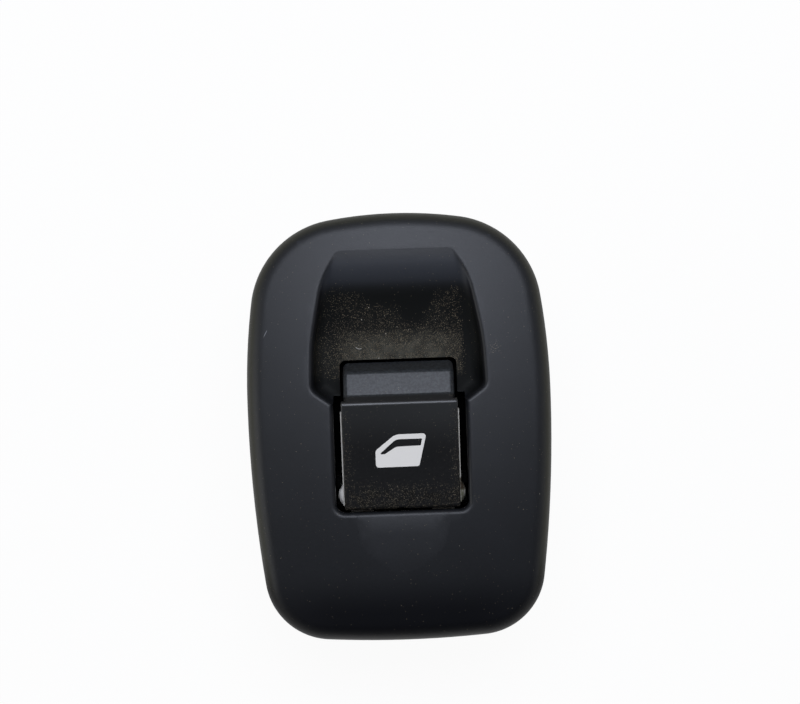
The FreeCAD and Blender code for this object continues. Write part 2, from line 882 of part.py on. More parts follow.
def ear():
    """One upright ear of the housing, with the snap-in bearing for a nub."""
    low_y = hinge_y - ear_below_hinge
    high_y = hinge_y + ear_beyond_hinge
    root_z = deck_top_z - deck_thickness / 2
    foot_z = deck_top_z + ear_foot_height
    foot_end_z = foot_z - ear_foot_slope
    top_z = hinge_z + ear_above_hinge
    corners = [
        (low_y - ear_foot, root_z, 0),
        (low_y - ear_foot, foot_end_z, 0),
        (low_y, foot_z, ear_foot_slope),
        (low_y, top_z, ear_round),
        (high_y, top_z, ear_round),
        (high_y, foot_z, ear_foot_slope),
        (high_y + ear_foot, foot_end_z, 0),
        (high_y + ear_foot, root_z, 0),
    ]
    plate = Part.Face(rounded_wire(corners, upright(ear_x))).extrude(Vector(ear_thickness, 0, 0))
    bearing = nub_radius_at(ear_x) + bearing_clearance
    hole = Part.makeCylinder(bearing, beyond, Vector(0, hinge_y, hinge_z), Vector(1, 0, 0))
    mouth = pillar(ear_x, hinge_y, 4 * ear_thickness, 2 * bearing - slot_squeeze, hinge_z, above_all)
    return plate.cut(hole).cut(mouth)


def screw_places():
    """Centres of the four screws."""
    return [(side * screw_x, y) for side in (-1, 1) for y in screw_ys]


def module_corners(gap):
    """The module's plan, moved inwards by gap."""
    return rectangle(
        module_half_width - gap, module_low_y + gap, module_high_y - gap, max(module_corner - gap, 0.3)
    )


def board_posts(z, top_z):
    """Four posts at the board's corners, between two heights."""
    posts = []
    for x in (post_inset - cavity_half_width, cavity_half_width - post_inset):
        for y in (cavity_low_y + post_inset, cavity_high_y - post_inset):
            posts.append(column(x, y, post_radius, z, top_z))
    return posts


def make_switch_housing():
    """Upper case of the module: deck with guides and ears, side walls, screw lobes and snap lugs."""
    case = slab(module_corners(0), cover_top_z, deck_top_z)
    case = case.cut(slab(module_corners(module_wall), cover_top_z - 1, deck_z))
    for x, y in plunger_places.values():
        case = case.fuse(column(x, y, plunger_radius + guide_wall, guide_z, guide_top_z))
    for x, y in screw_places():
        case = case.fuse(column(x, y, lobe_radius, deck_z, deck_top_z))
        inner, outer = sorted((math.copysign(module_half_width - 1, x), x))
        case = case.fuse(block(inner, y - lobe_radius, deck_z, outer, y + lobe_radius, deck_top_z))
    case = case.fuse(board_posts(board_top_z, deck_z + deck_thickness / 2))
    case = case.fuse(on_both_sides(ear()))
    for y in tab_ys:
        case = case.fuse(on_both_sides(snap_lug(y)))
    for x, y in plunger_places.values():
        bore = plunger_radius + guide_clearance
        case = case.cut(column(x, y, bore, guide_z - 1, guide_top_z + 1))
    for x, y in screw_places():
        case = case.cut(column(x, y, screw_radius + screw_hole_clearance, deck_z - 1, deck_top_z + 1))
    return case.cut(light_pipe_stem(pipe_clearance)).removeSplitter()


def snap_lug(y):
    """Wedge on the housing's wall that a cover tab's window catches."""
    low_z = cover_z + tab_window_low + lug_clearance
    high_z = cover_z + tab_window_low + tab_window_height - lug_clearance
    half = tab_window / 2 - lug_clearance
    wall_x = module_half_width
    front = [(-lug_reach / 2, low_z), (-lug_reach / 2, high_z), (lug_reach, high_z)]
    front += [(lug_reach, high_z - lug_lip), (0, low_z)]
    corners = [Vector(wall_x + out, y - half, z) for out, z in front]
    face = Part.Face(Part.makePolygon([*corners, corners[0]]))
    return face.extrude(Vector(0, 2 * half, 0))


def snap_tab(y):
    """Springy tab on the cover, with a window for the housing's lug."""
    inner_x = module_half_width + tab_gap
    outer_x = inner_x + tab_thickness
    half = tab_width / 2
    tab = block(inner_x, y - half, cover_z, outer_x, y + half, cover_z + tab_height)
    top_edges = [edge for edge in tab.Edges if edge.BoundBox.ZMin > cover_z + tab_height - 0.01]
    across = [edge for edge in top_edges if edge.BoundBox.YLength < 0.01]
    tab = tab.makeFillet(min(corner_small, half / 2), across)
    root = block(module_half_width - 1, y - half, cover_z, outer_x, y + half, cover_top_z - tab_gap)
    window_z = cover_z + tab_window_low
    window_x = (inner_x + outer_x) / 2
    window = pillar(
        window_x, y, 3 * tab_thickness, tab_window, window_z, window_z + tab_window_height
    )
    return tab.fuse(root).cut(window)


def socket_corners(gap):
    """Plan of the socket's shroud, moved inwards by gap."""
    return rectangle(
        socket_length / 2 - gap,
        socket_y - socket_width / 2 + gap,
        socket_y + socket_width / 2 - gap,
        max(socket_corner - gap, 0.4),
    )


def make_base_cover(pins):
    """Lower case of the module: plate, locating lip, board posts, snap tabs and the socket's shroud."""
    cover = slab(module_corners(0), cover_z, cover_top_z)
    lip = slab(module_corners(module_wall + lip_gap), cover_top_z - 0.5, cover_top_z + lip_height)
    inside = slab(module_corners(module_wall + lip_gap + lip_wall), cover_top_z, above_all)
    cover = cover.fuse(lip.cut(inside))
    cover = cover.fuse(board_posts(cover_z, board_z))
    for y in tab_ys:
        cover = cover.fuse(on_both_sides(snap_tab(y)))
    pin_span = pin_pitch * (pin_count - 1) / 2
    carrier = rectangle(pin_span + 2, socket_y - 1.8, socket_y + 1.8, 0.8)
    cover = cover.fuse(slab(carrier, cover_z, cover_top_z + solder_space - 0.6))
    shroud = slab(socket_corners(0), 0, cover_z + 0.5)
    cover = cover.fuse(shroud.cut(slab(socket_corners(socket_wall), -1, cover_z)))
    wall_y = socket_y + socket_width / 2 - socket_wall
    for x in (-key_offset, key_offset):
        cover = cover.fuse(
            block(x - key_width / 2, wall_y - key_reach, 0, x + key_width / 2, wall_y + 0.5, cover_z)
        )
    cover = cover.fuse(latch_ramp())
    for pin in pins:
        cover = cover.cut(pin)
    return cover.removeSplitter()


def latch_ramp():
    """Wedge on the shroud's outside that the plug's latch snaps over."""
    wall_y = socket_y - socket_width / 2
    half = latch_width / 2
    low_z = latch_from_mouth
    high_z = latch_from_mouth + latch_height
    side_view = [(wall_y + 0.5, low_z, 0), (wall_y, low_z, 0), (wall_y - latch_reach, high_z - 0.5, 0)]
    side_view += [(wall_y - latch_reach, high_z, 0), (wall_y + 0.5, high_z, 0)]
    return side_slab(side_view, half)


def make_terminal_pin(number):
    """One square pin with a tapered tip, from the socket up through the board."""
    x = (number - (pin_count - 1) / 2) * pin_pitch
    full_z = pin_from_mouth + pin_tip
    body = pillar(x, socket_y, pin_side, pin_side, full_z, board_top_z + pin_above_board)

    def square(side, z):
        low, high = -side / 2, side / 2
        around = [(low, low), (high, low), (high, high), (low, high), (low, low)]
        return Part.makePolygon([Vector(x + u, socket_y + v, z) for u, v in around])

    tip = Part.makeLoft([square(pin_tip_side, pin_from_mouth), square(pin_side, full_z)], True, True)
    return body.fuse(tip).removeSplitter()


def make_circuit_board():
    """Board with holes for the pins, resting on the cover's posts."""
    low_y, high_y = cavity_low_y + board_gap, cavity_high_y - board_gap
    board = slab(rectangle(board_half_width, low_y, high_y, corner_small), board_z, board_top_z)
    for number in range(pin_count):
        x = (number - (pin_count - 1) / 2) * pin_pitch
        board = board.cut(column(x, socket_y, pin_hole_radius, board_z - 1, board_top_z + 1))
    return board


def dome(x, y):
    """One rubber dome, hollow from below, standing on the mat's sheet."""
    ceiling = dome_top_z - dome_crown
    outside = Part.makeCone(dome_base_radius, dome_top_radius, dome_height, Vector(x, y, mat_top_z))
    low_radius = dome_base_radius - dome_skin
    high_radius = dome_top_radius - dome_skin + 0.25
    inside = Part.makeCone(low_radius, high_radius, ceiling - mat_top_z, Vector(x, y, mat_top_z))
    inside = inside.fuse(column(x, y, low_radius, board_top_z - 1, mat_top_z))
    return outside, inside


def make_dome_mat():
    """Silicone mat on the board: a sheet with four domes and a window for the lamp."""
    half_window = mat_window / 2
    sheet = slab(
        rectangle(mat_half_width, up_y - mat_end_margin, down_y + mat_end_margin, corner_small),
        board_top_z,
        mat_top_z,
    )
    domes = [dome(x, y) for x, y in plunger_places.values()]
    for outside, _ in domes:
        sheet = sheet.fuse(outside)
    for _, inside in domes:
        sheet = sheet.cut(inside)
    window = rectangle(half_window, symbol_y - half_window, symbol_y + half_window, 0.6)
    return sheet.cut(slab(window, board_top_z - 1, mat_top_z + 1))


def make_contact_pill(x, y):
    """Carbon pill under a dome's crown; its gap to the board is the plunger's travel."""
    ceiling = dome_top_z - dome_crown
    return column(x, y, pill_radius, board_top_z + travel + pill_spare, ceiling)


def make_plunger(x, y):
    """Plunger between a rubber dome and one of the rocker's feet."""
    stem = column(x, y, plunger_radius, dome_top_z, plunger_top_z)
    top_edge = [edge for edge in stem.Edges if edge.BoundBox.ZMin > plunger_top_z - 0.01]
    stem = stem.makeFillet(plunger_top_round, top_edge)
    return stem.fuse(column(x, y, plunger_flange_radius, dome_top_z, flange_top_z)).removeSplitter()


def light_pipe_stem(grow=0.0):
    """The light pipe's tapered stem, or a slightly larger one for its hole."""
    wires = []
    head = (pipe_head_width, pipe_head_depth)
    for (width, depth), z in ((pipe_foot, pipe_z), (head, pipe_top_z)):
        half = width / 2 + grow
        low, high = symbol_y - depth / 2 - grow, symbol_y + depth / 2 + grow
        wires.append(rounded_wire(rectangle(half, low, high, 0.5), plan(z)))
    return Part.makeLoft(wires, True, True)


def make_light_pipe():
    """Clear pipe that carries the lamp's light up under the symbol, held by a flange on the deck."""
    half = pipe_flange_depth / 2
    outline = rectangle(pipe_flange_width / 2, symbol_y - half, symbol_y + half, pipe_flange_lip)
    flange = slab(outline, deck_top_z, deck_top_z + pipe_flange_thickness)
    return light_pipe_stem().fuse(flange).removeSplitter()


def make_backlight_led():
    """Surface-mounted lamp under the light pipe."""
    width, depth, height = led_size
    top_z = board_top_z + height
    body = pillar(0, symbol_y, width, depth, board_top_z, top_z)
    well_place = Vector(0, symbol_y, top_z - led_lens_depth)
    well = Part.makeCone(led_lens_radius * 0.8, led_lens_radius, led_lens_depth, well_place)
    return body.cut(well)


def make_chip(size, place):
    """A small soldered part with raised metal ends."""
    width, depth, height = size
    x, y = place
    top_z = board_top_z + height
    waist = width - 2 * chip_cap_length
    body = pillar(x, y, width, depth, board_top_z, top_z)
    return body.cut(pillar(x, y, waist, 2 * depth, top_z - chip_cap_lip, top_z + 1))


def make_surge_diode():
    """Moulded diode with two folded leads."""
    width, depth, height = diode_size
    x, y = diode_place
    top_z = board_top_z + height
    body = pillar(x, y, width, depth, board_top_z + diode_stand_off, top_z)
    top_edges = [edge for edge in body.Edges if edge.BoundBox.ZMin > top_z - 0.01]
    body = body.makeChamfer(diode_chamfer, top_edges)
    for lead_x in (x - width / 2, x + width / 2):
        lead_top_z = board_top_z + diode_lead_height
        lead = pillar(lead_x, y, 2 * diode_lead, diode_lead_width, board_top_z, lead_top_z)
        body = body.fuse(lead)
    return body.removeSplitter()


def make_bezel_screws():
    """Four pan-head screws, up through the housing's lobes into the bezel's bosses."""
    screws = []
    for x, y in screw_places():
        shank = column(x, y, screw_radius, deck_z, deck_z + screw_length)
        head = column(x, y, head_radius, deck_z - head_height, deck_z)
        low_edge = [edge for edge in head.Edges if edge.BoundBox.ZMax < deck_z - head_height + 0.01]
        head = head.makeFillet(head_height * 0.45, low_edge)
        low_z = deck_z - head_height
        for across, along in ((recess_span, recess_width), (recess_width, recess_span)):
            head = head.cut(pillar(x, y, across, along, low_z - 1, low_z + recess_depth))
        screws.append(head.fuse(shank).removeSplitter())
    return Part.makeCompound(screws)


def strip_corners(path, thickness):
    """Closed outline of a folded sheet that follows an open path of (u, v, radius) points."""
    points = [Vector(u, v, 0) for u, v, _ in path]
    sides = {1: [], -1: []}
    for i, point in enumerate(points):
        ways = []
        if i > 0:
            ways.append((point - points[i - 1]).normalize())
        if i < len(points) - 1:
            ways.append((points[i + 1] - point).normalize())
        normals = [Vector(-way.y, way.x, 0) for way in ways]
        normal = Vector(0, 0, 0)
        for n in normals:
            normal = normal + n
        normal.normalize()
        stretch = thickness / 2 / normal.dot(normals[0])
        bend = 0
        if len(ways) == 2:
            bend = math.copysign(1, ways[0].x * ways[1].y - ways[0].y * ways[1].x)
        for side in (1, -1):
            corner = point + normal * (side * stretch)
            radius = path[i][2]
            if radius:
                radius = radius - thickness / 2 if bend == side else radius + thickness / 2
            sides[side].append((corner.x, corner.y, radius))
    return sides[1] + list(reversed(sides[-1]))


def make_panel_clip(end):
    """Folded spring-steel clip, pushed up over a bezel tongue; its wing grips the door panel."""
    leg = tongue_thickness / 2 + clip_slack + clip_sheet / 2
    base_z = rim_z - tongue_reach - clip_slack - clip_sheet / 2
    wing_z = base_z + clip_wing_low
    path = [
        (-leg, rim_z - clip_short, 0),
        (-leg, base_z, clip_bend),
        (leg, base_z, clip_bend),
        (leg, wing_z, clip_bend),
        (leg + clip_wing_out, wing_z + clip_wing_rise, clip_bend),
        (leg + clip_wing_out - clip_wing_return, wing_z + clip_wing_rise + 1.3, 0),
    ]
    placed = [(end * (tongue_y + u), v, radius) for u, v, radius in path]
    return side_slab(strip_corners(placed, clip_sheet), clip_half_width)


def build():
    """Every piece of the switch by its name."""
    cap = cap_solid()
    pins = [make_terminal_pin(number) for number in range(pin_count)]
    pieces = {
        "bezel": make_bezel(),
        "rocker_cap": make_rocker_cap(cap),
        "rocker_core": make_rocker_core(cap),
        "switch_housing": make_switch_housing(),
        "base_cover": make_base_cover(pins),
        "circuit_board": make_circuit_board(),
        "dome_mat": make_dome_mat(),
        "light_pipe": make_light_pipe(),
        "backlight_led": make_backlight_led(),
        "chip_capacitor": make_chip(capacitor_size, capacitor_place),
        "surge_diode": make_surge_diode(),
        "bezel_screws": make_bezel_screws(),
        "panel_clip_upper": make_panel_clip(1),
        "panel_clip_lower": make_panel_clip(-1),
    }
    for number, pin in enumerate(pins, 1):
        pieces[f"terminal_pin_{number}"] = pin
    for number, place in enumerate(resistor_places, 1):
        pieces[f"chip_resistor_{number}"] = make_chip(resistor_size, place)
    for name, (x, y) in plunger_places.items():
        pieces[f"plunger_{name}"] = make_plunger(x, y)
        pieces[f"contact_pill_{name}"] = make_contact_pill(x, y)
    return pieces


os.makedirs("parts", exist_ok=True)
for name, shape in build().items():
    shape.exportStep(f"parts/{name}.step")
    print(name, shape.isValid(), len(shape.Solids), round(shape.Volume, 1))
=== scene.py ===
import json
import math

import bpy
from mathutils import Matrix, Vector

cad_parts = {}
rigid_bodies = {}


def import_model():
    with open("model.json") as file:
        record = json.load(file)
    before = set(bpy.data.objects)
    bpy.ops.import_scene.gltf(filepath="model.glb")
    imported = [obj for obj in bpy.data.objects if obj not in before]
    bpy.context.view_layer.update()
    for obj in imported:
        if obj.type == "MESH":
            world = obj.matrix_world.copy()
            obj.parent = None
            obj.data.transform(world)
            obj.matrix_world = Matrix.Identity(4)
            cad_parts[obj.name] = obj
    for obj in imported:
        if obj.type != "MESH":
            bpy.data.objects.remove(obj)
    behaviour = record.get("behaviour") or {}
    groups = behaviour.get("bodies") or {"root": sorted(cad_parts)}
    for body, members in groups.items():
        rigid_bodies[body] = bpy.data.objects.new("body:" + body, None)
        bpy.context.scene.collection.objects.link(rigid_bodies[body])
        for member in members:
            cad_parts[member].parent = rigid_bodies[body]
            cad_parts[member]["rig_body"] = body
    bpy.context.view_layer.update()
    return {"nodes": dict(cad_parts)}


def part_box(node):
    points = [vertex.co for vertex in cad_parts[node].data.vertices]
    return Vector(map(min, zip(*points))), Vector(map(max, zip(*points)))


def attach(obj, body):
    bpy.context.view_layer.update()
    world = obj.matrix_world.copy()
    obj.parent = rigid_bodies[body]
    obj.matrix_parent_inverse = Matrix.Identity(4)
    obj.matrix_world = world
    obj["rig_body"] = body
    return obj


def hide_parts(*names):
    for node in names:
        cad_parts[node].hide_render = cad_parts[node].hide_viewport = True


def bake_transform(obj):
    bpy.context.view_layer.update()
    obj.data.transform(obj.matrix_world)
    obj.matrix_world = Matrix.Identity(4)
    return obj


# Power window switch of a car door: a moulded bezel, a two-colour rocker and the switch module
# behind them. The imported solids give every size; this file gives finish and finer shapes.
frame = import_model()

# View
# The photograph looks straight down on the bezel, turned by two degrees. Its frame is 800 by 704
# pixels at 5.05 pixels per millimetre, on the level of the bezel's rim.
VIEW_DISTANCE = 0.45
VIEW_LEVEL = 0.0288
VIEW_TURN = math.radians(2.0)
SENSOR = 36.0
FRAME_WIDTH = 800 / 5.05 / 1000
bpy.ops.object.select_all(action="DESELECT")
bpy.ops.object.camera_add(
    location=(0.00051, 0.0147, VIEW_LEVEL + VIEW_DISTANCE), rotation=(0.0, 0.0, -VIEW_TURN)
)
camera = bpy.context.object
camera.data.sensor_width = SENSOR
camera.data.lens = SENSOR * VIEW_DISTANCE / FRAME_WIDTH
bpy.context.scene.camera = camera
bpy.context.scene.view_settings.view_transform = "Standard"


# Floor
# A plain white table. The camera and mirrors see it a little lifted towards white, with the
# switch's soft shadow kept.
def linear(code):
    """The linear colour of an sRGB hex code."""
    parts = [int(code[i : i + 2], 16) / 255 for i in (1, 3, 5)]
    return [p / 12.92 if p <= 0.04045 else ((p + 0.055) / 1.055) ** 2.4 for p in parts] + [1.0]


def add_node(tree, kind, inputs=(), **settings):
    """Adds a node with its settings; an input is a value, a socket or another node's output."""
    node = tree.nodes.new(kind)
    for name, value in settings.items():
        setattr(node, name, value)
    for name, value in (inputs if isinstance(inputs, dict) else dict(enumerate(inputs))).items():
        if isinstance(value, bpy.types.Node):
            value = next(socket for socket in value.outputs if socket.enabled)
        if isinstance(value, bpy.types.NodeSocket):
            tree.links.new(value, node.inputs[name])
        else:
            node.inputs[name].default_value = value
    return node


def new_material(name):
    """A new node material whose tree is still empty."""
    material = bpy.data.materials.new(name)
    material.use_nodes = True
    material.node_tree.nodes.clear()
    return material, material.node_tree


FLOOR_COLOUR = "#F8F8F8"
FLOOR_LIFT = 0.95
white_board, tree = new_material("white_painted_board")
rays = add_node(tree, "ShaderNodeLightPath").outputs
seen = add_node(
    tree, "ShaderNodeMath", [rays["Is Camera Ray"], rays["Is Glossy Ray"]], operation="MAXIMUM"
)
seen = add_node(tree, "ShaderNodeMath", [seen, rays["Is Transmission Ray"]], operation="MAXIMUM")
lift = add_node(tree, "ShaderNodeMath", [seen, FLOOR_LIFT], operation="MULTIPLY")
paint = add_node(tree, "ShaderNodeBsdfDiffuse", [linear(FLOOR_COLOUR)])
white = add_node(tree, "ShaderNodeEmission", [linear("#FFFFFF"), 1.0])
add_node(
    tree,
    "ShaderNodeOutputMaterial",
    [add_node(tree, "ShaderNodeMixShader", [lift, paint, white])],
)
bpy.ops.object.select_all(action="DESELECT")
bpy.ops.mesh.primitive_plane_add(size=6.0, location=(0.0, 0.0, -0.0002))
floor = bpy.context.object
floor.name = "floor"
floor.data.materials.append(white_board)

# Light
# One large soft lamp a little beyond the scoop's end, as a window above the table would be, and
# weak lamps all round so that no side is black.
room = bpy.data.worlds.new("room")
room.use_nodes = True
bpy.context.scene.world = room
background = room.node_tree.nodes["Background"]
background.inputs["Color"].default_value = linear("#FFFFFF")
background.inputs["Strength"].default_value = 0.045


def add_lamp(name, tilt, turn, distance, width, height, power, colour):
    """A soft lamp aimed at the switch, tilt degrees from the vertical, turn degrees from +Y."""
    tilt, turn = math.radians(tilt), math.radians(turn)
    side = math.sin(tilt)
    way = Vector((-math.sin(turn) * side, math.cos(turn) * side, math.cos(tilt)))
    bpy.ops.object.select_all(action="DESELECT")
    bpy.ops.object.light_add(type="AREA", location=way * distance + Vector((0, 0, VIEW_LEVEL)))
    lamp = bpy.context.object
    lamp.name = name
    lamp.rotation_mode = "QUATERNION"
    lamp.rotation_quaternion = way.to_track_quat("Z", "Y")
    lamp.data.shape = "RECTANGLE"
    lamp.data.size = width
    lamp.data.size_y = height
    lamp.data.energy = power
    lamp.data.color = linear(colour)[:3]


add_lamp("window_lamp", 27, -4, 0.7, 0.58, 0.4, 4.65, "#EAF0FF")
add_lamp("left_lamp", 74, 95, 0.9, 0.6, 0.6, 2.1, "#FFFFFF")
add_lamp("right_lamp", 74, -95, 0.9, 0.6, 0.6, 0.55, "#FFFFFF")
add_lamp("near_lamp", 78, 180, 0.9, 0.6, 0.6, 0.1, "#FFFFFF")


# Bezel
# ABS moulded in a fine-etched steel tool, so its face is matt with a soft sheen; four screws hold
# it to the module. Road dust has settled in the finger scoop, and a fingertip has wiped a tongue
# of it away.
MERGE_GAP = 2e-6


def pick(piece):
    """Makes a piece the active one and the only one selected."""
    bpy.ops.object.select_all(action="DESELECT")
    bpy.context.view_layer.objects.active = piece
    piece.select_set(True)


def smooth_copy(node, name, body, material, angle=32):
    """A merged, smoothly shaded copy of a CAD node, which stands for it on its body."""
    piece = bpy.data.objects.new(name, frame["nodes"][node].data.copy())
    bpy.context.scene.collection.objects.link(piece)
    pick(piece)
    if piece.data.has_custom_normals:
        bpy.ops.mesh.customdata_custom_splitnormals_clear()
    bpy.ops.object.mode_set(mode="EDIT")
    bpy.ops.mesh.select_all(action="SELECT")
    bpy.ops.mesh.remove_doubles(threshold=MERGE_GAP)
    bpy.ops.object.mode_set(mode="OBJECT")
    bpy.ops.object.shade_smooth_by_angle(angle=math.radians(angle))
    piece.data.materials.clear()
    piece.data.materials.append(material)
    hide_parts(node)
    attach(piece, body)
    return piece


def millimetres(tree):
    """The piece's own place in millimetres, whole and as its three parts."""
    place = add_node(tree, "ShaderNodeTexCoord").outputs["Object"]
    mm = add_node(tree, "ShaderNodeVectorMath", {0: place, "Scale": 1000.0}, operation="SCALE")
    parts = add_node(tree, "ShaderNodeSeparateXYZ", [mm])
    return mm, *parts.outputs


def moulded(name, colour, roughness, specular, grain_mm, grain_depth_mm, mottle):
    """A moulded plastic: fine grain in its bump and gloss, slow clouds in its colour."""
    material, tree = new_material(name)
    mm = millimetres(tree)[0]
    grain = add_node(
        tree,
        "ShaderNodeTexNoise",
        {"Vector": mm, "Scale": 1.0 / grain_mm, "Detail": 3.0, "Roughness": 0.6},
    )
    cloud = add_node(tree, "ShaderNodeTexNoise", {"Vector": mm, "Scale": 0.12, "Detail": 4.0})
    shade = add_node(tree, "ShaderNodeMapRange", [cloud, 0.3, 0.7, 1.0 - mottle, 1.0 + mottle])
    shader = add_node(
        tree,
        "ShaderNodeBsdfPrincipled",
        {
            "Base Color": add_node(
                tree,
                "ShaderNodeVectorMath",
                {0: linear(colour)[:3], "Scale": shade},
                operation="SCALE",
            ),
            "Roughness": add_node(
                tree, "ShaderNodeMapRange", [grain, 0.3, 0.7, roughness - 0.05, roughness + 0.05]
            ),
            "Specular IOR Level": specular,
            "Normal": add_node(
                tree, "ShaderNodeBump", {"Height": grain, "Distance": grain_depth_mm / 1000}
            ),
        },
    )
    add_node(tree, "ShaderNodeOutputMaterial", [shader])
    return material, tree, shader


def lay_over(tree, shader, mask, colour, roughness, tint=None):
    """Covers a shader with another colour, roughness and reflection tint where a mask is 1."""
    for name, over in (("Base Color", colour), ("Specular Tint", tint)):
        if over is None:
            continue
        under = shader.inputs[name]
        below = under.links[0].from_socket if under.links else tuple(under.default_value)
        mixed = add_node(
            tree, "ShaderNodeMix", {0: mask, 6: below, 7: linear(over)}, data_type="RGBA"
        )
        tree.links.new(mixed.outputs[2], under)
    under = shader.inputs["Roughness"]
    below = under.links[0].from_socket
    mixed = add_node(tree, "ShaderNodeMix", {0: mask, 2: below, 3: roughness})
    tree.links.new(mixed.outputs[0], under)


def share_of(tree, *bands):
    """Strength of a finish: the product of soft steps, each (value, start, end, low, high)."""
    share = 1.0
    for band in bands:
        step = add_node(tree, "ShaderNodeMapRange", band, interpolation_type="SMOOTHSTEP")
        share = add_node(tree, "ShaderNodeMath", [share, step], operation="MULTIPLY")
    return share


def dust_grains(tree, mm, density, shader, sizes, darkest, palest):
    """Grains of dust over a shader; sizes are (cells per mm, smallest, largest radius in mm)."""
    for per_mm, smallest, largest in sizes:
        cells = add_node(tree, "ShaderNodeTexVoronoi", {"Vector": mm, "Scale": per_mm})
        chance = add_node(tree, "ShaderNodeSeparateColor", [cells.outputs["Color"]]).outputs
        there = add_node(tree, "ShaderNodeMath", [chance[0], density], operation="LESS_THAN")
        radius = add_node(
            tree,
            "ShaderNodeMapRange",
            [chance[1], 0.0, 1.0, smallest * per_mm, largest * per_mm],
        )
        inside = add_node(
            tree, "ShaderNodeMath", [cells.outputs["Distance"], radius], operation="LESS_THAN"
        )
        grey = add_node(
            tree,
            "ShaderNodeMix",
            {0: chance[2], 6: linear(darkest), 7: linear(palest)},
            data_type="RGBA",
        )
        grain = add_node(tree, "ShaderNodeMath", [there, inside], operation="MULTIPLY")
        under = shader.inputs["Base Color"]
        mixed = add_node(
            tree,
            "ShaderNodeMix",
            {0: grain, 6: under.links[0].from_socket, 7: grey},
            data_type="RGBA",
        )
        tree.links.new(mixed.outputs[2], under)


CROWN_Z = 35.99956
CROWN_CURVE = (1 / 280.0, 1 / 440.0, 0.0)
SPOTS = ((19.0, 15.0, 1.9, 0.5), (-12.8, -16.3, 0.8, 0.5), (14.5, -14.2, 0.8, 0.4))
SCRATCH_PLACE = (-25.8, 19.2, 0.0)
SCRATCH_TURN = math.radians(62)
SCRATCH_REACH = (0.9, 0.07, 99.0)
grained_abs, tree, shader = moulded("grained_black_abs", "#0F1115", 0.49, 0.5, 0.22, 0.008, 0.12)
mm, x, y, z = millimetres(tree)
squares = add_node(tree, "ShaderNodeVectorMath", [mm, mm], operation="MULTIPLY")
fall = add_node(tree, "ShaderNodeVectorMath", [squares, CROWN_CURVE], operation="DOT_PRODUCT")
level = add_node(tree, "ShaderNodeMath", [CROWN_Z, fall], operation="SUBTRACT")
depth = add_node(tree, "ShaderNodeMath", [level, z], operation="SUBTRACT")
across = add_node(tree, "ShaderNodeMath", [x], operation="ABSOLUTE")
along = add_node(tree, "ShaderNodeMath", [y], operation="ABSOLUTE")
inner = share_of(tree, (across, 19.0, 19.1, 1.0, 0.0), (along, 37.2, 37.3, 1.0, 0.0))
outer = add_node(tree, "ShaderNodeMath", [1.0, inner], operation="SUBTRACT")
# The rim band outside the face is tinted olive, made rougher and has its reflection dimmed: olive
# grime, plus painted shade that keeps the white floor's reflection off the rim.
edge = share_of(tree, (depth, 0.1, 1.0, 0.0, 1.0), (outer, 0.0, 1.0, 0.0, 1.0))
lay_over(tree, shader, edge, "#14140E", 0.54, "#D0D0BE")
# Painted shade: towards the lower end the rim is made near black, with almost no reflection.
lower_rim_painted_shade = share_of(tree, (edge, 0.0, 1.0, 0.0, 1.0), (y, -24.0, -38.0, 0.0, 1.0))
lay_over(tree, shader, lower_rim_painted_shade, "#050504", 0.8, "#0E0E0C")
shaded = share_of(tree, (y, -27.5, -37.0, 0.0, 1.0), (across, 12.0, 26.0, 1.0, 0.7))
lay_over(tree, shader, shaded, "#04050A", 0.5, "#B8B8B8")
# Painted light: the shallow upper part of the scoop's far slope is painted lighter than the face's
# own colour.
far_slope_painted_light = share_of(
    tree,
    (depth, 0.03, 0.5, 0.0, 0.85),
    (depth, 1.6, 3.0, 1.0, 0.0),
    (inner, 0.0, 1.0, 0.0, 1.0),
    (y, 26.0, 29.0, 0.0, 1.0),
)
lay_over(tree, shader, far_slope_painted_light, "#272A30", 0.52)
# Inside the scoop the colour is dulled and the reflection turned down: partly matt dust, partly
# painted shade.
scoop = share_of(
    tree, (depth, 1.0, 3.2, 0.0, 1.0), (inner, 0.0, 1.0, 0.0, 1.0), (y, 5.0, 7.0, 0.0, 1.0)
)
lay_over(tree, shader, scoop, "#131414", 0.6, "#767672")
wobble = add_node(tree, "ShaderNodeTexNoise", {"Vector": mm, "Scale": 0.5, "Detail": 3.0})
bow = add_node(tree, "ShaderNodeVectorMath", [squares, (-0.03, 0.0, 0.0)], operation="DOT_PRODUCT")
from_tongue = add_node(tree, "ShaderNodeMath", [x, 3.6], operation="SUBTRACT")
from_tongue = add_node(tree, "ShaderNodeMath", [from_tongue], operation="ABSOLUTE")
reach = y
for part in (
    bow,
    share_of(tree, (from_tongue, 0.5, 4.6, 4.2, 0.0)),
    add_node(tree, "ShaderNodeMath", [wobble, 2.6], operation="MULTIPLY"),
):
    reach = add_node(tree, "ShaderNodeMath", [reach, part], operation="ADD")
dusty = share_of(
    tree,
    (scoop, 0.0, 1.0, 0.0, 1.0),
    (reach, 22.6, 27.4, 1.0, 0.0),
    (x, 12.0, 13.6, 1.0, 0.1),
    (y, 8.2, 12.0, 0.0, 1.0),
)
film = share_of(
    tree,
    (dusty, 0.0, 1.0, 0.0, 1.0),
    (wobble, 0.3, 0.7, 0.45, 1.0),
    (y, 15.5, 20.0, 0.85, 0.06),
    (across, 8.0, 13.0, 1.0, 0.15),
)
lay_over(tree, shader, film, "#4E4D46", 0.85, "#383838")
flat = add_node(tree, "ShaderNodeCombineXYZ", [x, y])
spread = share_of(
    tree, (dusty, 0.0, 1.0, 0.0, 1.0), (y, 16.0, 21.5, 1.0, 0.34), (x, -14.5, -10.0, 0.3, 1.0)
)
spread = add_node(tree, "ShaderNodeMath", [spread, 0.006], operation="ADD")
